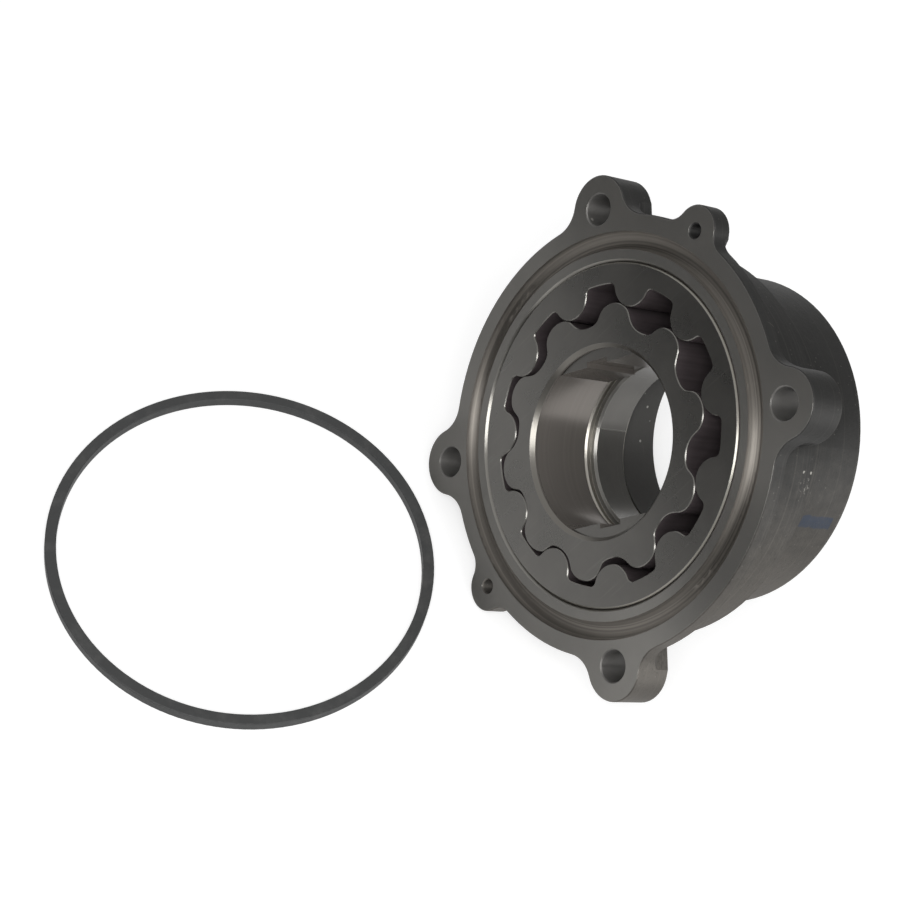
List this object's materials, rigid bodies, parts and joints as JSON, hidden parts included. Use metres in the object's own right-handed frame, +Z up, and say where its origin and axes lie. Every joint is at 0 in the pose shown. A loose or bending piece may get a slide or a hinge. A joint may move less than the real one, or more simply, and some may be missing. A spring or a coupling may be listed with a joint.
{
  "type": "gerotor engine oil pump",
  "caption": "Gerotor oil pump: cast housing with eared flange and rear drum, meshing inner and outer rotors, a bearing bush, and its square face seal lying beside it.",
  "frame": {"origin": "centre of the bolt circle on the mounting face, on the axis of the rotor pocket", "axes": "+Z up from the bench that the pump lies on, the mounting face turned to -Y and up, +X to the right of someone facing it"},
  "size_m": [0.1767, 0.2655, 0.1499],
  "materials": {
    "housing_iron": "dark phosphated cast iron, machined on the face",
    "bush_metal": "bored bearing strip",
    "outer_rotor_steel": "ground sintered steel",
    "inner_rotor_steel": "ground sintered steel",
    "seal_rubber": "matte moulded rubber"
  },
  "bodies": {
    "housing": {"pump_housing": "housing_iron", "bearing_bush": "bush_metal", "face_seal": "seal_rubber"},
    "outer_rotor": {"outer_rotor": "outer_rotor_steel"},
    "inner_rotor": {"inner_rotor": "inner_rotor_steel"}
  },
  "joints": [
    {"name": "inner_rotor_spin", "type": "hinge", "parent": "housing", "child": "inner_rotor", "pos_m": [0.00029, -0.00167, -0.00332], "axis": [0, -0.893, 0.4501], "continuous": true},
    {"name": "outer_rotor_spin", "type": "hinge", "parent": "housing", "child": "outer_rotor", "pos_m": [0, 0, 0], "axis": [0, -0.893, 0.4501], "continuous": true}
  ],
  "couplings": [
    {"joint": "outer_rotor_spin", "follows": "inner_rotor_spin", "ratio": 0.90909}
  ]
}
